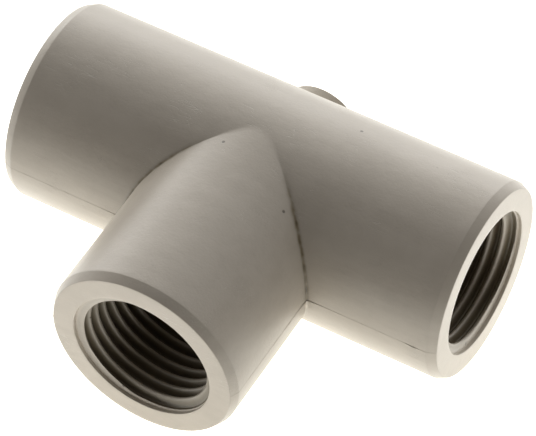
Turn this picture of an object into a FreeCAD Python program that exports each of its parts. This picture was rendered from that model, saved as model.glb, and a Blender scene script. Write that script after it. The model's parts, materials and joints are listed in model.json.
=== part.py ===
"""Equal pipe tee with three female G 1/2 threads, injection moulded in one shot.

Frame: the origin is where the two pipe axes cross. The run lies along X, the
branch points along -Y, and +Z is up, so z = 0 is the mould's parting plane.

The moulding is divided at its three socket shoulders, where the bore steps from
the thread to the waterway. The sections meet face to face and don't overlap:
centre_junction, run_socket_right, run_socket_left, branch_socket and gate_boss.
"""
import FreeCAD, Part
import math
import os

Vector = FreeCAD.Vector
Z_AXIS = Vector(0, 0, 1)
ORIGIN = Vector(0, 0, 0)

# --- driving dimensions, in millimetres ---------------------------------------

# parallel pipe thread G 1/2: 14 threads to the inch, 55 degree flanks
thread_pitch = 25.4 / 14
thread_major_radius = 20.955 / 2
thread_flank_angle = 27.5
thread_length = 16.5

# height of the 55 degree form between its flats, as a share of the pitch
thread_depth_share = 0.640327

# angle, seen from outside the mouth, at which the thread's ridge meets the face
run_thread_start = 170.0
branch_thread_start = -50.0

# smooth bore between the last thread and the shoulder
thread_run_out = 1.2

# shallow step at each mouth, just clear of the thread's major diameter
lead_in_clearance = 0.07
lead_in_depth = 0.5

# wall outside the thread's major diameter, and how much slimmer the branch is
socket_wall = 4.0225
branch_slimness = 0.15

# outside corner of each mouth, and the fillet where the pipes meet
chamfer_length = 1.3
chamfer_depth = 0.6
crease_fillet = 0.3

# plain pipe between the other pipe's wall and the shoulder inside each socket
run_neck = 1.8
branch_neck = 1.8

# step from the thread's minor diameter down to the straight bores
shoulder_width = 0.7

# round pad left where the plastic was injected, on the back of the run
gate_boss_radius = 5.5
gate_boss_height = 1.0

# --- sizes that follow from them -----------------------------------------------

thread_minor_radius = thread_major_radius - thread_depth_share * thread_pitch
waterway_radius = thread_minor_radius - shoulder_width
run_radius = thread_major_radius + socket_wall
branch_radius = run_radius - branch_slimness
socket_length = thread_length + thread_run_out
run_shoulder = run_radius + run_neck
branch_shoulder = run_radius + branch_neck
run_centre_to_face = run_shoulder + socket_length
branch_centre_to_face = branch_shoulder + socket_length

# extra length on each cutting tool, so that it passes clean through
overcut = 1.0

# how far the groove's flanks reach into the open bore, short of the next turn
groove_overcut = 0.12

# the thread crest is laid out in this many stretches per turn, a face for each
crest_stretches = 12


def cylinder_z(radius, low, high):
    """A solid cylinder on the Z axis from z = low to z = high."""
    return Part.makeCylinder(radius, high - low, Vector(0, 0, low), Z_AXIS)


def divided_cylinder_z(radius, low, high):
    """The same cylinder, its wall divided into equal stretches around the axis."""
    stretch = 360.0 / crest_stretches
    sectors = []
    for number in range(crest_stretches):
        sector = Part.makeCylinder(radius, high - low, Vector(0, 0, low), Z_AXIS, stretch)
        sector.rotate(ORIGIN, Z_AXIS, number * stretch)
        sectors.append(sector)
    return sectors[0].fuse(sectors[1:])


def thread_groove(face_height, start_angle):
    """The helical groove of a right-hand internal thread whose mouth is at z = face_height.

    Its section is the 55 degree form, cut flat at the minor and major diameters.
    It starts thread_length below the face and runs out through it.
    """
    slope = math.tan(math.radians(thread_flank_angle))
    mean_radius = (thread_major_radius + thread_minor_radius) / 2
    inside = thread_minor_radius - groove_overcut

    def half_width(radius):
        return thread_pitch / 4 + (mean_radius - radius) * slope

    corners = [
        Vector(inside, 0, -half_width(inside)),
        Vector(thread_major_radius, 0, -half_width(thread_major_radius)),
        Vector(thread_major_radius, 0, half_width(thread_major_radius)),
        Vector(inside, 0, half_width(inside)),
    ]
    profile = Part.makePolygon(corners + corners[:1])
    straight = 0
    path = Part.makeLongHelix(
        thread_pitch, thread_length + thread_pitch, thread_minor_radius, straight
    )

    sweep = Part.BRepOffsetAPI.MakePipeShell(path)
    sweep.setFrenetMode(True)
    sweep.add(profile)
    sweep.build()
    sweep.makeSolid()
    groove = sweep.shape()

    # the ridge beside the groove reaches the face at start_angle
    turns = thread_length / thread_pitch
    groove.rotate(ORIGIN, Z_AXIS, start_angle + 180 - 360 * turns)
    groove.translate(Vector(0, 0, face_height - thread_length))
    return groove


def socket(outer_radius, shoulder, centre_to_face, start_angle):
    """One threaded socket standing on the Z axis, from its shoulder to its face."""
    body = cylinder_z(outer_radius, shoulder, centre_to_face - chamfer_length)
    chamfer = Part.makeCone(
        outer_radius,
        outer_radius - chamfer_depth,
        chamfer_length,
        Vector(0, 0, centre_to_face - chamfer_length),
        Z_AXIS,
    )
    body = body.fuse(chamfer).removeSplitter()
    bore = divided_cylinder_z(thread_minor_radius, shoulder, centre_to_face)
    lead_in = cylinder_z(
        thread_major_radius + lead_in_clearance,
        centre_to_face - lead_in_depth,
        centre_to_face + overcut,
    )
    ring = body.cut(bore).cut(lead_in)
    return ring.cut(thread_groove(centre_to_face, start_angle))


def pipe_along_x(radius, half_length):
    return Part.makeCylinder(radius, 2 * half_length, Vector(-half_length, 0, 0), Vector(1, 0, 0))


def pipe_along_minus_y(radius, length):
    return Part.makeCylinder(radius, length, ORIGIN, Vector(0, -1, 0))


def touches_both_pipes(edge):
    """True for the edge where the branch's outside meets the run's outside."""
    middle = edge.valueAt((edge.FirstParameter + edge.LastParameter) / 2)
    off_run = abs(math.hypot(middle.y, middle.z) - run_radius)
    off_branch = abs(math.hypot(middle.x, middle.z) - branch_radius)
    return max(off_run, off_branch) < 0.01 and middle.y < 0


def centre_junction():
    """The middle of the tee: two crossing pipes with a small fillet in the crease."""
    outside = pipe_along_x(run_radius, run_shoulder)
    outside = outside.fuse(pipe_along_minus_y(branch_radius, branch_shoulder))
    crease = [edge for edge in outside.Edges if touches_both_pipes(edge)]
    outside = outside.makeFillet(crease_fillet, crease)
    waterway = pipe_along_x(waterway_radius, run_shoulder + overcut)
    waterway = waterway.fuse(pipe_along_minus_y(waterway_radius, branch_shoulder + overcut))
    return outside.cut(waterway)


def run_socket_right():
    """Stood on the X axis with its mouth at +X."""
    shape = socket(run_radius, run_shoulder, run_centre_to_face, run_thread_start)
    shape.rotate(ORIGIN, Vector(0, 1, 0), 90)
    return shape


def run_socket_left():
    """The right socket turned half a turn about Z, so its thread has the same hand."""
    shape = run_socket_right()
    shape.rotate(ORIGIN, Z_AXIS, 180)
    return shape


def branch_socket():
    """Stood on the Y axis with its mouth at -Y."""
    shape = socket(branch_radius, branch_shoulder, branch_centre_to_face, branch_thread_start)
    shape.rotate(ORIGIN, Vector(1, 0, 0), 90)
    return shape


def gate_boss():
    """A round pad on the back of the run, seated on the pipe's curved wall."""
    pad = Part.makeCylinder(gate_boss_radius, run_radius + gate_boss_height, ORIGIN, Vector(0, 1, 0))
    return pad.cut(pipe_along_x(run_radius, run_shoulder))


nodes = {
    "centre_junction": centre_junction(),
    "run_socket_right": run_socket_right(),
    "run_socket_left": run_socket_left(),
    "branch_socket": branch_socket(),
    "gate_boss": gate_boss(),
}

os.makedirs("parts", exist_ok=True)
for name, shape in nodes.items():
    assert shape.isValid() and len(shape.Solids) == 1, name
    solid = shape.Solids[0]
    solid.exportStep(f"parts/{name}.step")
    print(f"{name}: volume {solid.Volume:.1f} mm3, {len(solid.Faces)} faces")
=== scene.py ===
import json
import math

import bmesh
import bpy
import numpy as np
from mathutils import Matrix, Vector


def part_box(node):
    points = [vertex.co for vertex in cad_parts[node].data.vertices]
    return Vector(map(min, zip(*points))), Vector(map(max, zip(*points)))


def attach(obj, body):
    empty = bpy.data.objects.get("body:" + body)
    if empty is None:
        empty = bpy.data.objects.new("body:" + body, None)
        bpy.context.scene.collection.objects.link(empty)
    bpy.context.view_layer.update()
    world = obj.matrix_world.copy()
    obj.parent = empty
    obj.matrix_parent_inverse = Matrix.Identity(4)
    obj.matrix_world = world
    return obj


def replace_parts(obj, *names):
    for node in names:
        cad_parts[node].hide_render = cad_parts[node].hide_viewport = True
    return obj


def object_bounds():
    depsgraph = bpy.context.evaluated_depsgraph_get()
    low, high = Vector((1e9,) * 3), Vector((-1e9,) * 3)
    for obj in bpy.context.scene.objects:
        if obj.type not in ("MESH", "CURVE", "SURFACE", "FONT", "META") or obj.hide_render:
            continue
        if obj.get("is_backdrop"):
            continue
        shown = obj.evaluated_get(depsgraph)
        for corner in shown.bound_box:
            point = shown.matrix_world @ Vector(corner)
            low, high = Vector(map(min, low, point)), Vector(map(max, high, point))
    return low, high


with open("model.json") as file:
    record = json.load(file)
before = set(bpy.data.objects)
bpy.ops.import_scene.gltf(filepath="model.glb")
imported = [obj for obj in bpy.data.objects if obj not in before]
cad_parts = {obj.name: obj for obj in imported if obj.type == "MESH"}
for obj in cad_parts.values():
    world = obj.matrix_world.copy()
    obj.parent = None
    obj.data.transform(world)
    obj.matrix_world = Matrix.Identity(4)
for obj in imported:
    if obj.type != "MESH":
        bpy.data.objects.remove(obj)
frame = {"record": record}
cad_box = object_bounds()


# ---- centre junction ------------------------------------------------------------
# The middle of the tee, where the branch pipe grows out of the run pipe. One piece of
# moulded polypropylene with the sockets. The two halves of the mould met at z = 0 and
# left a fine raised line there, and the pipes meet in a crease with a small fillet.

mm = 0.001
mounts = {mount["name"]: mount for mount in frame["record"]["mounts"]}

run_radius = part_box("centre_junction")[1].z
run_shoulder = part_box("centre_junction")[1].x
branch_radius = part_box("branch_socket")[1].x
branch_shoulder = -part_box("branch_socket")[1].y
waterway_radius = mounts["run_waterway"]["dims"]["r_mm"] * mm

# how finely the walls are divided, and how much closer the rows are next to the crease
around_steps = 121
outside_rows = 40
waterway_rows = 14
fillet_rows = 9
row_crowding = 1.5

# the crease widens into a smooth blend over the last degrees before the crown
crease_fillet = 0.26 * mm
crown_fillet = 12.0 * mm
crown_start = 62
crown_span = 28

parting_line_height = 0.045 * mm
parting_line_width = 0.08 * mm
parting_step = 0.025 * mm

# extra columns across the parting line, and their reach in widths of it
line_columns = 15
line_reach = 3.5

# the line's height wavers around a level, and swells in three places. A wave is its
# size, its rate and its shift. Lengths and places are in millimetres
line_level = 0.55
line_waves = [(0.25, 1.9, 0), (0.2, 4.7, 1), (0.15, 11, 0)]
crease_burr = 2.4
crease_burr_length = 1.1
corner_swell = 0.6
corner_swell_length = 5
mouth_burr = 2.2
mouth_burr_length = 0.7
mouth_burr_place = 30.7
step_fade = 4

# the painted shade in the crease lies above the parting plane and the flash below it, both
# placed by degrees round the branch. Their width across the crease is in millimetres
crease_shade_depth = 0.55
crease_mark_width = 0.3
crease_shade_rise = 2
crease_shade_end = 68
crease_shade_fade = 25
crease_shade_waves = [(0.25, 0.9, 1), (0.2, 2.1, 0), (0.15, 3.7, 0)]
low_crease_shade = 0.5
low_crease_shade_spread = 20
flash_paleness = 0.7
flash_angle = -5
flash_spread = 3

sharp_angle = math.radians(30)
weld_distance = 0.4e-6


def around_half(radius, steps):
    """Angles from -90 to 90 degrees, evenly spaced, with extra ones close to 0.

    The extra angles are a few hundredths of a millimetre apart on a pipe of this
    radius, so that the raised line at z = 0 has a smooth section.
    """
    even = np.linspace(-math.pi / 2, math.pi / 2, steps)
    close = np.linspace(-line_reach, line_reach, line_columns) * parting_line_width / radius
    return np.unique(np.round(np.concatenate([even, close]), 9))


def tee_wall(run, branch, fillet, run_end, branch_end, around, rows):
    """The right half of a tee's wall, as grids of points and of their outward normals.

    A ball of the fillet's radius rolls in the crease. At branch angle a its centre is
    run + fillet from the run's axis and branch + fillet from the branch's axis, so
    x = (branch + fillet) cos a, z = (branch + fillet) sin a, and y follows from the
    run's circle. The ball touches each pipe on the line from that pipe's axis. From
    those two touching points straight lines follow each pipe to its end, and an arc of
    the ball joins them. Rows are closest together next to the crease. The back of the
    run is a plain part of a cylinder. The fillet has one radius for each angle.
    """
    cos, sin = np.cos(around), np.sin(around)
    fillet = np.broadcast_to(fillet, around.shape)
    centre_x = (branch + fillet) * cos
    centre_z = (branch + fillet) * sin
    centre_y = -np.sqrt(np.maximum((run + fillet) ** 2 - centre_z**2, 0))
    centre = np.stack([centre_x, centre_y, centre_z], -1)
    branch_normal = np.stack([cos, 0 * cos, sin], -1)
    fillet = fillet[:, None]
    run_normal = np.stack([0 * cos, centre_y, centre_z], -1) / (run + fillet)
    along = np.linspace(0, 1, rows)[:, None] ** row_crowding

    def straight(start, end_x=None, end_y=None):
        """Rows of points from start, moved evenly along one axis to an end."""
        line = np.repeat(start[None], rows, 0)
        if end_x is not None:
            line[:, :, 0] = start[:, 0] + (end_x - start[:, 0]) * along
        if end_y is not None:
            line[:, :, 1] = end_y + (start[:, 1] - end_y) * along
        return line

    branch_grid = straight(centre - fillet * branch_normal, end_y=-branch_end)
    run_grid = straight(centre - fillet * run_normal, end_x=run_end)

    grids = [
        (branch_grid, np.broadcast_to(branch_normal, branch_grid.shape)),
        (run_grid, np.broadcast_to(run_normal, run_grid.shape)),
    ]
    if fillet.max() > 0:
        between = np.arccos(np.clip((branch_normal * run_normal).sum(-1), -1, 1))[:, None]
        share = np.linspace(0, 1, fillet_rows)[:, None, None]
        turned = np.sin((1 - share) * between) * branch_normal
        turned = (turned + np.sin(share * between) * run_normal) / np.sin(between)
        grids.append((centre - fillet * turned, turned))

    top = math.atan2(run_normal[-1, 2], -run_normal[-1, 1])
    back = math.pi - around[::-1] * (math.pi - top) / (math.pi / 2)
    back_normal = np.stack([0 * back, -np.cos(back), np.sin(back)], -1)
    back_grid = straight(run * back_normal, end_x=run_end)
    grids.append((back_grid, np.broadcast_to(back_normal, back_grid.shape)))
    return grids


def bell(distance, width):
    """A bell curve: e to the power of minus the square of the distance over the width."""
    return np.exp(-((distance / width) ** 2))


def wavering(along, level, waves):
    """The level plus, for each wave, its size times the sine of rate times along plus shift."""
    return sum((size * np.sin(rate * along + shift) for size, rate, shift in waves), level)


def parting_line(points, normals):
    """Raises the mould's parting line on a grid of outside points.

    The line's section is a bell curve of the height z. Its size wavers along the pipe,
    and bell curves of the distance raise it in the crease, around it, and in a short
    burr near the right mouth. Below it the lower half of the mould sits a few hundredths
    of a millimetre proud, which fades out as a bell curve of z.
    """
    x, y, z = points[..., 0] / mm, points[..., 1] / mm, points[..., 2] / mm
    off_crease = np.hypot(np.abs(x) - branch_radius / mm, y + run_radius / mm)
    size = wavering(x - y, line_level, line_waves)
    size = size + crease_burr * bell(off_crease, crease_burr_length)
    size = size + corner_swell * bell(off_crease, corner_swell_length)
    size = size + mouth_burr * bell(x - mouth_burr_place, mouth_burr_length) * (y < 0)
    line = parting_line_height * size * bell(z * mm, parting_line_width)
    below = np.clip(0.5 - z * mm / (2 * parting_line_width), 0, 1)
    step = parting_step * below * bell(z, step_fade)
    return points + (line + step)[..., None] * normals


def crease_angle_and_distance(points):
    """How far round the branch each point is, in degrees, and how far it is from the crease.

    The distance squared is the sum of the squared distances from the two pipes' walls,
    in millimetres. Points behind the run's axis are put out of the crease's reach.
    """
    x, y, z = np.moveaxis(points / mm, -1, 0)
    off_run = np.hypot(y, z) - run_radius / mm
    off_branch = np.hypot(x, z) - branch_radius / mm
    out_of_reach = 10.0
    behind = np.where(y > 0, out_of_reach, 0.0)
    return np.degrees(np.arctan2(z, np.abs(x))), np.hypot(off_run, off_branch) + behind


def crease_shade_and_flash(points):
    """A patchy dark line of painted shade in the crease above the parting plane, and pale flash below
    it.

    The line wavers along the crease, is darkest low down, and fades out towards the
    crown, where the crease widens into a smooth blend. The flash is a bell curve of the
    angle from its middle. Both fall off as a bell curve of the distance from the crease.
    """
    angle, distance = crease_angle_and_distance(points)
    patchy = wavering(angle, 1 + low_crease_shade * bell(angle, low_crease_shade_spread), crease_shade_waves)
    depth = crease_shade_depth * patchy * np.clip((crease_shade_end - angle) / crease_shade_fade, 0, 1)
    depth = depth * np.clip(angle / crease_shade_rise, 0, 1)
    flash = flash_paleness * bell(angle - flash_angle, flash_spread)
    return 1 + (flash - depth) * bell(distance, crease_mark_width)


def flip_x(grid):
    """The same grid on the other side of x = 0."""
    return grid * np.array([-1.0, 1.0, 1.0])


def closed_piece(name, grids, tones):
    """A mesh of all the grids' cells, welded along their shared edges and faced outwards.

    Each grid is an array of rows by columns by xyz, and its tone says how pale or dark the
    colour is at each point, painted shade and painted highlight among it. Edges past the
    sharp angle stay sharp and the rest are shaded smooth.
    """
    points, faces, first = [], [], 0
    for grid in grids:
        rows, columns = grid.shape[:2]
        number = first + np.arange(rows * columns).reshape(rows, columns)
        cells = [number[:-1, :-1], number[:-1, 1:], number[1:, 1:], number[1:, :-1]]
        faces.append(np.stack(cells, -1).reshape(-1, 4))
        points.append(grid.reshape(-1, 3))
        first += rows * columns
    mesh = bpy.data.meshes.new(name)
    mesh.from_pydata(np.concatenate(points), [], np.concatenate(faces).tolist())
    shades = np.concatenate([tone.ravel() for tone in tones]).astype(np.float32)
    mesh.attributes.new("tone", "FLOAT", "POINT").data.foreach_set("value", shades)
    piece = bpy.data.objects.new(name, mesh)
    bpy.context.collection.objects.link(piece)

    edit = bmesh.new()
    edit.from_mesh(mesh)
    bmesh.ops.remove_doubles(edit, verts=edit.verts, dist=weld_distance)
    bmesh.ops.dissolve_degenerate(edit, edges=edit.edges, dist=weld_distance)
    bmesh.ops.recalc_face_normals(edit, faces=edit.faces)
    edit.to_mesh(mesh)
    edit.free()
    mesh.polygons.foreach_set("use_smooth", np.ones(len(mesh.polygons), bool))
    mesh.set_sharp_from_angle(angle=sharp_angle)
    return piece


around = around_half(run_radius, around_steps)
near_crown = np.clip((np.abs(np.degrees(around)) - crown_start) / crown_span, 0, 1)
fillet = crease_fillet + (crown_fillet - crease_fillet) * near_crown**3
ends = (run_shoulder, branch_shoulder)
outside = tee_wall(run_radius, branch_radius, fillet, *ends, around, outside_rows)
inside = tee_wall(waterway_radius, waterway_radius, 0.0, *ends, around, waterway_rows)
outside = [parting_line(points, normals) for points, normals in outside]
inside = [points for points, _ in inside]
branch_end = np.stack([outside[0][0], inside[0][0]])
run_end_front = np.stack([outside[1][-1], inside[1][-1]])
run_end_back = np.stack([outside[-1][-1], inside[-1][-1]])
half = outside + inside + [branch_end, run_end_front, run_end_back]

# painted shade sits in the crease where the fillet is tight, and the waterways are painted dark as
# shade
waterway_shade = 0.45
end_tone = np.array([[1.0], [waterway_shade]]) * np.ones(len(around))
tones = [crease_shade_and_flash(grid) for grid in outside]
tones += [np.full(grid.shape[:2], waterway_shade) for grid in inside]
tones += [end_tone, end_tone, end_tone]
whole = half + [flip_x(grid) for grid in half]
junction = closed_piece("centre_junction_body", whole, tones + tones)
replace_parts(junction, "centre_junction")
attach(junction, "root")


class Signal:
    """An output socket. Arithmetic and the greater-than sign add Math nodes after it."""

    def __init__(self, socket):
        self.socket = socket

    @staticmethod
    def node(tree, kind, settings, inputs, output=0):
        """Adds a node: its settings first, then values or signals for its sockets."""
        made = tree.nodes.new(kind)
        for key, value in settings.items():
            setattr(made, key, value)
        for key, value in inputs.items():
            if isinstance(value, Signal):
                tree.links.new(value.socket, made.inputs[key])
            else:
                made.inputs[key].default_value = value
        return Signal(made.outputs[output])

    def maths(self, operation, first, second=0.0):
        """A Math node beside this socket, on two values or signals."""
        settings, inputs = {"operation": operation}, {0: first, 1: second}
        return Signal.node(self.socket.id_data, "ShaderNodeMath", settings, inputs)

    def __add__(self, other):
        return self.maths("ADD", self, other)

    def __sub__(self, other):
        return self.maths("SUBTRACT", self, other)

    def __mul__(self, other):
        return self.maths("MULTIPLY", self, other)

    def __rsub__(self, other):
        return self.maths("SUBTRACT", other, self)

    def __gt__(self, other):
        return self.maths("GREATER_THAN", self, other)

    __radd__ = __add__
    __rmul__ = __mul__

    def between(self, low, high):
        """0 below low, 1 above high, and a smooth rise from one to the other."""
        settings = {"interpolation_type": "SMOOTHSTEP"}
        inputs = {"Value": self, "From Min": low, "From Max": high}
        return Signal.node(self.socket.id_data, "ShaderNodeMapRange", settings, inputs)


def stretched_noise(tree, place, scale, detail, stretch=(1, 1, 1), roughness=0.5):
    """Noise on the object's own coordinates, squeezed along each axis by stretch."""
    inputs = {"Vector": place, "Scale": stretch}
    place = Signal.node(tree, "ShaderNodeMapping", {"vector_type": "POINT"}, inputs)
    inputs = {"Vector": place, "Scale": scale, "Detail": detail, "Roughness": roughness}
    return Signal.node(tree, "ShaderNodeTexNoise", {}, inputs)


def blend_colour(tree, factor, first, second, how="MIX"):
    """Goes from the first colour to the second, or to their product, by the factor."""
    settings = {"data_type": "RGBA", "blend_type": how}
    inputs = {"Factor": factor, 6: first, 7: second}
    return Signal.node(tree, "ShaderNodeMix", settings, inputs, output=2)


scuff_colour = (0.62, 0.59, 0.53, 1)
speck_colour = (0.07, 0.055, 0.04, 1)
# warm tint multiplied into the colour where the mesh's tone is below 1, the painted shade
painted_shade_tint = (1.0, 0.9, 0.68, 1)

# the specks' cells to the metre, how many of them are plain, and a speck's soft edge
speck_cells = 330.0
plain_share = 0.86
speck_edge = (0.05, 0.10)

# how far the hairlines reach from their noise's middle, and where the skin is worn
hairline_width = 0.014
worn_edge = (0.54, 0.68)


def moulded_plastic(name, light, dark, roughness, grain):
    """Pebble grey polypropylene as it leaves a fine-blasted steel mould.

    Cloudy tone from uneven pigment, long faint flow streaks, a few dark specks burnt in
    the barrel, hairline scuffs that turn paler and rougher, and a fine blasted grain.
    The mesh's tone, which holds painted shade and painted highlight, multiplies the colour,
    and tones below 1 are also warmer, a painted warm tint in the shade.
    """
    material = bpy.data.materials.new(name)
    material.use_nodes = True
    tree = material.node_tree
    shader = tree.nodes["Principled BSDF"]
    place = Signal.node(tree, "ShaderNodeTexCoord", {}, {}, output="Object")

    cloud = stretched_noise(tree, place, scale=90, detail=3)
    flow = stretched_noise(tree, place, scale=900, detail=2, stretch=(0.12, 0.5, 1))
    blotch = stretched_noise(tree, place, scale=420, detail=4, roughness=0.6)

    # the three weighed into one tone, spread over the middle of their range
    tone = (cloud * 0.45 + flow * 0.25 + blotch * 0.3).between(0.38, 0.62)

    cells = {"Vector": place, "Scale": speck_cells, "Randomness": 1.0}
    spot = Signal.node(tree, "ShaderNodeTexVoronoi", {"feature": "F1"}, cells)
    pick = Signal.node(tree, "ShaderNodeTexVoronoi", {"feature": "F1"}, cells, output="Color")
    pick = Signal.node(tree, "ShaderNodeSeparateColor", {}, {"Color": pick})
    speck = (pick > plain_share) * (1 - spot.between(*speck_edge))

    hair = stretched_noise(tree, place, scale=1500, detail=1, stretch=(0.16, 1.0, 1.6)) - 0.5
    hair = hair.maths("ABSOLUTE", hair)
    worn = stretched_noise(tree, place, scale=160, detail=2).between(*worn_edge)
    scuff = (1 - hair.between(0.0, hairline_width)) * worn

    settings = {"attribute_name": "tone"}
    tone_and_painted_shade = Signal.node(tree, "ShaderNodeAttribute", settings, {}, output="Fac")
    colour = blend_colour(tree, tone, dark, light)
    colour = blend_colour(tree, scuff * 0.45, colour, scuff_colour)
    colour = blend_colour(tree, speck * 0.8, colour, speck_colour)
    # the mesh's tone paints shade and highlight into the colour, then warms the painted shade
    colour = blend_colour(tree, 1.0, colour, tone_and_painted_shade, "MULTIPLY")
    colour = blend_colour(tree, 1 - tone_and_painted_shade.between(0.3, 1.0), colour, painted_shade_tint, "MULTIPLY")
    tree.links.new(colour.socket, shader.inputs["Base Color"])

    # a noise's middle is 0.5, so the roughness swings both ways from its own value
    gloss = roughness + (blotch - 0.5) * 0.14 + scuff * 0.12 + (flow - 0.5) * 0.08
    tree.links.new(gloss.socket, shader.inputs["Roughness"])

    # heights in steps of the bump's distance
    blasted = stretched_noise(tree, place, scale=2600, detail=3, roughness=0.65)
    height = blasted * grain + flow * 1.2 + blotch * 2.2 - scuff * 1.2 - speck * 1.5
    bump = {"Strength": 0.6, "Distance": 0.05 * mm, "Height": height}
    bump = Signal.node(tree, "ShaderNodeBump", {}, bump)
    tree.links.new(bump.socket, shader.inputs["Normal"])

    shader.inputs["IOR"].default_value = 1.49
    shader.inputs["Specular Tint"].default_value = (1.0, 0.95, 0.84, 1)
    shader.inputs["Coat Weight"].default_value = 0.6
    shader.inputs["Coat Roughness"].default_value = 0.35
    shader.inputs["Sheen Weight"].default_value = 0.6
    shader.inputs["Sheen Tint"].default_value = (1.0, 0.93, 0.8, 1)
    shader.inputs["Sheen Roughness"].default_value = 0.3
    return material


body_plastic = moulded_plastic(
    "pebble_grey_polypropylene",
    light=(0.478, 0.425, 0.356, 1),
    dark=(0.437, 0.386, 0.321, 1),
    roughness=0.37,
    grain=1.0,
)
junction.data.materials.append(body_plastic)


# ---- threaded sockets -----------------------------------------------------------
# Three equal sockets on the junction, part of the same moulding. The bore is shaped by
# a threaded steel core that is unscrewed, so its thread has rounded ridges that start
# at the mouth's flat face, and the mouth has a chamfer and a shallow step inside it.

# how pale the colour is from the flat face in to the grooves, with a painted highlight on the
# thread's crests and painted shade in its grooves and deep in the bore, and how far each change takes
mouth_tone = 1.27
chamfer_tone = 1.07
crest_highlight_tone = 1.25
groove_shade_tone = 0.36
bore_shade = 0.2
bore_shade_depth = 6 * mm
lip_width = 0.25 * mm
face_blend = 0.1 * mm
chamfer_blend = 0.08 * mm

# depth and rounding of the 55 degree form are shares of its pitch
thread_minor = mounts["branch_thread"]["dims"]["r_mm"] * mm
thread_pitch = 25.4 * mm / 14
thread_depth = 0.640327 * thread_pitch
thread_round = 0.137329 * thread_pitch
flank_angle = math.radians(27.5)
thread_length = 16.5 * mm
thread_fade = 0.9 * mm
thread_fade_bend = 0.7
ridge_run_in = math.radians(110)
lead_in_clearance = 0.07 * mm
lead_in_radius = thread_minor + thread_depth + lead_in_clearance
lead_in_depth = 0.5 * mm
lead_in_step_slope = 6
chamfer_length = 1.3 * mm
chamfer_depth = 0.6 * mm

# radius of each rounded edge, from the barrel in
chamfer_round = 0.35 * mm
face_round = 0.16 * mm
lead_in_round = 0.07 * mm

barrel_rows = 44
face_rows = 8
corner_rows = 4
rows_per_turn = 20


def thread_radius(depth, angle, start, ridge_rise):
    """Radius of a right-hand internal thread at each depth below the mouth and angle.

    A ridge reaches the mouth at the start angle and goes deeper by one pitch for each
    turn the other way. Across a ridge, the distance from its middle gives the height:
    an arc at the crest, a straight flank at 27.5 degrees from square, and an arc at the
    root. The first ridge rises out of the root over the run-in, from the ridge_rise
    angle after the start. At its inner end the groove fades into the smooth bore, by a
    power of the length that is left.
    """
    turns = depth / thread_pitch + (angle - start) / (2 * math.pi)
    ridge = np.round(turns)
    travel = ridge * 2 * math.pi - (angle - start)
    risen = np.clip((travel - ridge_rise) / ridge_run_in, 0, 1)
    across = np.abs(turns - ridge) * thread_pitch
    arc_width = thread_round * math.cos(flank_angle)
    arc_height = thread_round * (1 - math.sin(flank_angle))

    def arc(distance):
        """How far an arc has dropped from its top: radius less the side of the triangle."""
        return thread_round - np.sqrt(thread_round**2 - np.minimum(distance, arc_width) ** 2)

    flank = arc_height + (across - arc_width) / math.tan(flank_angle)
    height = np.where(across < arc_width, arc(across), flank)
    from_root = thread_pitch / 2 - across
    height = np.where(from_root < arc_width, thread_depth - arc(from_root), height)
    height = thread_depth - (thread_depth - height) * risen
    fade = np.clip((thread_length - depth) / thread_fade, 0, 1)
    return thread_minor + height * fade**thread_fade_bend


def rounded_corner(before, corner, after, radius):
    """Points of the arc that rounds a corner of an outline, tangent to both its sides.

    It touches each side at the radius times the tangent of half the turn from the corner.
    """
    before, corner, after = (np.array(point, float) for point in (before, corner, after))
    way_in = (corner - before) / np.linalg.norm(corner - before)
    way_out = (after - corner) / np.linalg.norm(after - corner)
    turn = math.acos(np.clip(way_in @ way_out, -1, 1))
    reach = radius * math.tan(turn / 2)
    start = corner - reach * way_in
    side = (way_out - way_in) / np.linalg.norm(way_out - way_in)
    middle = corner + side * radius / math.cos(turn / 2)
    share = np.linspace(0, 1, corner_rows)[:, None]
    first, last = start - middle, corner + reach * way_out - middle
    swung = (np.sin((1 - share) * turn) * first + np.sin(share * turn) * last) / math.sin(turn)
    return middle + swung


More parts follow.
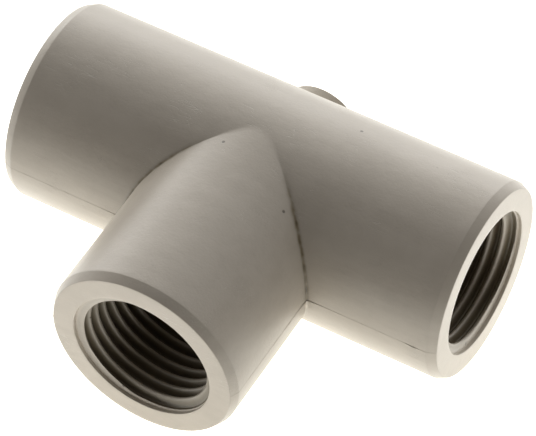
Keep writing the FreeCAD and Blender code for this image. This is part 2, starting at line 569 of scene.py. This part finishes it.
def socket(name, sideways, axis, outer, shoulder, face, start, ridge_rise):
    """A closed ring: outside, chamfer, face, lead-in, threaded bore and shoulder end.

    Every row of the grid is a circle around the axis, at a radius and a height above
    the shoulder. Only the bore's rows change radius with the angle. In the bore the tone
    falls from a painted highlight on the crests to painted shade in the grooves, as the cube
    of the share that isn't cut away, and painted shade deepens further in.
    """
    length = face - shoulder
    outline = [
        (outer, 0),
        (outer, length - chamfer_length),
        (outer - chamfer_depth, length),
        (lead_in_radius, length),
        (lead_in_radius, length - lead_in_depth),
    ]
    barrel = np.linspace(outline[0], outline[1], barrel_rows)[:-1]
    edges = [
        rounded_corner(*outline[0:3], chamfer_round),
        rounded_corner(*outline[1:4], face_round),
        np.linspace(outline[2], outline[3], face_rows)[1:-1],
        rounded_corner(*outline[2:5], lead_in_round),
        [outline[4]],
    ]
    outside = np.concatenate([barrel] + edges)

    half = around_half(outer, around_steps)
    angle = np.concatenate([half, math.pi - half[::-1]])
    depth = np.arange(lead_in_depth, length, thread_pitch / rows_per_turn)
    depth = np.append(depth, length)[:, None]
    bore = thread_radius(depth, angle[None], start, ridge_rise)
    step = lead_in_radius - (depth - lead_in_depth) * lead_in_step_slope
    bore = np.maximum(bore, step)

    radius = np.concatenate([np.repeat(outside[:, :1], len(angle), 1), bore])
    height = np.concatenate([outside[:, 1], length - depth[:, 0]])[:, None]
    sideways, axis, up = np.array(sideways), np.array(axis), np.array([0.0, 0.0, 1.0])
    outward = np.cos(angle)[:, None] * sideways + np.sin(angle)[:, None] * up
    points = radius[..., None] * outward + (shoulder + height)[..., None] * axis

    # the parting line ends where the flat face begins
    marked = len(barrel) + 2 * corner_rows
    normals = np.broadcast_to(outward, points[:marked].shape)
    points[:marked] = parting_line(points[:marked], normals)
    points = np.concatenate([points, points[:1]])

    # painted highlight on the crests, painted shade in the grooves and deeper in the bore
    sunk = np.clip((bore - thread_minor) / thread_depth, 0, 1)
    inward = 1 - bore_shade * np.clip((depth - lead_in_depth) / bore_shade_depth, 0, 1)
    bore_tone = (groove_shade_tone + (crest_highlight_tone - groove_shade_tone) * (1 - sunk) ** 3) * inward
    lip = np.clip((depth - lead_in_depth) / lip_width, 0, 1)
    bore_tone = mouth_tone + (bore_tone - mouth_tone) * lip
    near_mouth = outside[:, 1] > length / 2
    on_chamfer = np.clip((outer - outside[:, 0]) / chamfer_blend, 0, 1) * near_mouth
    on_face = np.clip((outer - chamfer_depth - outside[:, 0]) / face_blend, 0, 1) * near_mouth
    outside_tone = 1 + (chamfer_tone - 1) * on_chamfer + (mouth_tone - chamfer_tone) * on_face
    outside_tone = np.repeat(outside_tone[:, None], len(angle), 1)
    tones = np.concatenate([outside_tone, bore_tone, outside_tone[:1]])
    piece = closed_piece(name, [points], [tones])
    piece.data.materials.append(body_plastic)
    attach(piece, "root")
    return piece


run_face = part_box("run_socket_right")[1].x
branch_face = -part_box("branch_socket")[0].y
run_start = math.radians(80)
branch_start = math.radians(-50)
run_rise = math.radians(40)
branch_rise = math.radians(-40)
run_sizes = (run_radius, run_shoulder, run_face, run_start, run_rise)
branch_sizes = (branch_radius, branch_shoulder, branch_face, branch_start, branch_rise)

# each socket's way at angle 0, the way that it points, and its sizes
sockets = [
    ("run_socket_right", (0, 1, 0), (1, 0, 0), *run_sizes),
    ("run_socket_left", (0, -1, 0), (-1, 0, 0), *run_sizes),
    ("branch_socket", (1, 0, 0), (0, -1, 0), *branch_sizes),
]
for node, *sizes in sockets:
    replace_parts(socket(node + "_body", *sizes), node)


# ---- gate boss ------------------------------------------------------------------
# A low round pad on the back of the run, where the molten plastic entered the mould.
# It is part of the same moulding, rougher and a little browner than the rest, with a
# shallow dimple in the middle where the runner was broken off.

boss_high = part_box("gate_boss")[1]
boss_radius = boss_high.x
boss_top = boss_high.y
boss_round = 0.2 * mm
boss_foot = 0.25 * mm
boss_bite = 0.02 * mm
dimple_radius = 2.2 * mm
dimple_depth = 0.6 * mm
nib_height = 0.5 * mm
nib_radius = 0.6 * mm
torn_depth = 0.015 * mm
torn_ring_depth = 0.4
torn_ring_place = 0.8 * dimple_radius
torn_ring_width = 0.35 * mm

# radians to the metre of the torn surface's waves, of their bends and of their patches
torn_rate = 3100
torn_bend_rate = 1900
torn_patch_rate = 2300

pad_steps = 128
foot_rows = 6
bend_rows = 5
side_rows = 8
top_rows = 44


def pad():
    """A disc on a cylinder: rows run from the middle of its foot to the middle of its top.

    The foot follows the run's wall, where y squared plus z squared is the run's radius
    squared. The side is straight with a small fillet below and a rounded edge above.
    The top is flat with a round dimple whose floor is a cosine, and a torn nib in it, a
    bell curve with five lobes. Crossed sine waves sink the surface where it was torn.
    The tone is darker by a bell curve of the distance from the torn ring.
    """
    angle = np.linspace(0, 2 * math.pi, pad_steps + 1)
    ring = np.stack([np.cos(angle), 0 * angle, np.sin(angle)], -1)

    def on_wall(radius):
        """How far back the run's wall is, around a circle of this radius."""
        return np.sqrt(run_radius**2 - (radius * np.sin(angle)) ** 2)

    # each stretch of rows starts a little past the end of the one before
    rows = []
    for share in np.linspace(0, 1, foot_rows):
        reach = share * (boss_radius + boss_foot)
        rows.append((reach, on_wall(reach) - boss_bite))
    for bend in np.linspace(0, math.pi / 2, bend_rows):
        reach = boss_radius + boss_foot * (1 - math.sin(bend))
        rows.append((reach, on_wall(reach) + boss_foot * (1 - math.cos(bend))))
    for share in np.linspace(0.1, 1, side_rows):
        low = on_wall(boss_radius) + boss_foot
        rows.append((boss_radius, low + (boss_top - boss_round - low) * share))
    for bend in np.linspace(0.2, math.pi / 2, bend_rows):
        reach = boss_radius - boss_round * (1 - math.cos(bend))
        rows.append((reach, boss_top - boss_round * (1 - math.sin(bend)) + 0 * angle))
    for share in np.linspace(0.97, 0, top_rows):
        reach = share * (boss_radius - boss_round)
        dip = dimple_depth * 0.5 * (1 + math.cos(math.pi * min(reach / dimple_radius, 1)))
        lobes = 1 + 2 * np.sin(5 * angle) * share
        nib = nib_height * bell(reach, nib_radius) * lobes
        rows.append((reach, boss_top - dip + nib + 0 * angle))
    flat = np.stack([reach * ring for reach, _ in rows])
    flat[..., 1] = np.stack([height for _, height in rows])
    bends = 2 * np.sin(flat[..., 2] * torn_bend_rate)
    wave = torn_depth * np.sin(flat[..., 0] * torn_rate + bends)
    wave = wave * (0.5 + 0.5 * np.sin(flat[..., 2] * torn_patch_rate + 1))
    wave[:foot_rows] = 0
    rough = flat + np.minimum(wave, 0)[..., None] * np.array([0.0, 1.0, 0.0])
    reach = np.hypot(rough[..., 0], rough[..., 2])
    torn = bell(reach - torn_ring_place, torn_ring_width) * (rough[..., 1] > run_radius)
    return rough, 1 - torn_ring_depth * torn


pad_points, pad_tone = pad()
gate_pad = closed_piece("gate_boss_pad", [pad_points], [pad_tone])
gate_plastic = moulded_plastic(
    "torn_gate_plastic",
    light=(0.47, 0.41, 0.325, 1),
    dark=(0.31, 0.26, 0.19, 1),
    roughness=0.6,
    grain=3.0,
)
gate_pad.data.materials.append(gate_plastic)
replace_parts(gate_pad, "gate_boss")
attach(gate_pad, "root")


# ---- floor ----------------------------------------------------------------------
# A white table top that the tee lies on. A lamp under it makes it glow most around the
# middle, with a warm white.

floor_level = -run_radius
half_width = 3.0
near_glow = (1.28, 1.265, 1.18, 1)
far_glow = (0.74, 0.735, 0.71, 1)

# metres from where the pipes' axes cross, between which the glow falls
glow_fall = (0.035, 0.11)

corners = [(-1, -1), (1, -1), (1, 1), (-1, 1)]
floor_points = [(x * half_width, y * half_width, floor_level) for x, y in corners]
floor_mesh = bpy.data.meshes.new("table_top")
floor_mesh.from_pydata(floor_points, [], [(0, 1, 2, 3)])
floor = bpy.data.objects.new("table_top", floor_mesh)
bpy.context.collection.objects.link(floor)

table = bpy.data.materials.new("white_table")
table.use_nodes = True
table_tree = table.node_tree
table_shader = table_tree.nodes["Principled BSDF"]
table_shader.inputs["Base Color"].default_value = (0.9, 0.9, 0.9, 1)
table_shader.inputs["Roughness"].default_value = 0.9
table_shader.inputs["Emission Strength"].default_value = 1.0
table_place = Signal.node(table_tree, "ShaderNodeTexCoord", {}, {}, output="Object")
settings, inputs = {"operation": "LENGTH"}, {0: table_place}
off_centre = Signal.node(table_tree, "ShaderNodeVectorMath", settings, inputs, output="Value")
table_glow = blend_colour(table_tree, off_centre.between(*glow_fall), near_glow, far_glow)
table_tree.links.new(table_glow.socket, table_shader.inputs["Emission Color"])
floor.data.materials.append(table)
floor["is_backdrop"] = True


# ---- studio light ---------------------------------------------------------------
# A white light tent around the table. Its cloth glows where lamps stand behind it: most
# low down at the back and the left, less high up at the back, and hardly at all behind
# the lens.

# each lamp's degrees round from the branch, its degrees up, and its brightness
lamps = [
    (90, 8, 0.25),
    (180, 8, 1.67),
    (225, 8, 2.86),
    (270, 8, 0.60),
    (315, 8, 0.46),
    (150, 42, 0.55),
    (210, 42, 0.97),
    (210, 76, 0.56),
]
lamp_tightness = 9.0
seen_brightness = 1.2

world = bpy.data.worlds.new("light_tent")
bpy.context.scene.world = world
world.use_nodes = True
world_tree = world.node_tree
background = world_tree.nodes["Background"]
background.inputs["Color"].default_value = (1, 1, 1, 1)
direction = Signal.node(world_tree, "ShaderNodeTexCoord", {}, {}, output="Generated")


def lamp_glow(azimuth, elevation, brightness):
    """The soft round glow of one lamp through the cloth.

    With c the cosine of the angle from the lamp, it is the brightness times e to the
    power of the tightness times (c - 1).
    """
    turn, tilt = math.radians(azimuth), math.radians(elevation)
    lamp = (math.sin(turn) * math.cos(tilt), -math.cos(turn) * math.cos(tilt), math.sin(tilt))
    settings, inputs = {"operation": "DOT_PRODUCT"}, {0: direction, 1: lamp}
    cosine = Signal.node(world_tree, "ShaderNodeVectorMath", settings, inputs, output="Value")
    glow = (cosine - 1) * lamp_tightness
    return glow.maths("EXPONENT", glow) * brightness


tent = sum((lamp_glow(*lamp) for lamp in lamps[1:]), lamp_glow(*lamps[0]))

# the lens sees plain white cloth beyond the table
seen = Signal.node(world_tree, "ShaderNodeLightPath", {}, {}, output="Is Camera Ray")
tent = tent * (1 - seen) + seen * seen_brightness
world_tree.links.new(tent.socket, background.inputs["Strength"])


# ---- camera ---------------------------------------------------------------------
# A long lens, looking down at the tee from the right of the branch. Its distance and its
# aim are in radii of the run, and its focal length is a share of the sensor's width.

view_azimuth = math.radians(29.8)
view_elevation = math.radians(50.05)
view_distance = 40.25 * run_radius
aim_right = 0.004 * run_radius
aim_down = 0.283 * run_radius
sensor_width = 36.0
focal_share = 4230.7 / 536

back = Vector(
    (
        math.sin(view_azimuth) * math.cos(view_elevation),
        -math.cos(view_azimuth) * math.cos(view_elevation),
        math.sin(view_elevation),
    )
)
right_way = Vector((math.cos(view_azimuth), math.sin(view_azimuth), 0))
up_way = back.cross(right_way)
lens = bpy.data.cameras.new("long_lens")
lens.sensor_width = sensor_width
lens.lens = focal_share * sensor_width
lens.clip_start = 0.05
lens.clip_end = 20
camera = bpy.data.objects.new("camera", lens)
bpy.context.collection.objects.link(camera)
camera.matrix_world = Matrix((right_way, up_way, back)).transposed().to_4x4()
camera.location = back * view_distance + right_way * aim_right - up_way * aim_down
bpy.context.scene.camera = camera
bpy.context.scene.view_settings.view_transform = "Standard"

visual_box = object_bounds()
sizes = {"cad": [list(corner) for corner in cad_box], "visual": [list(corner) for corner in visual_box]}
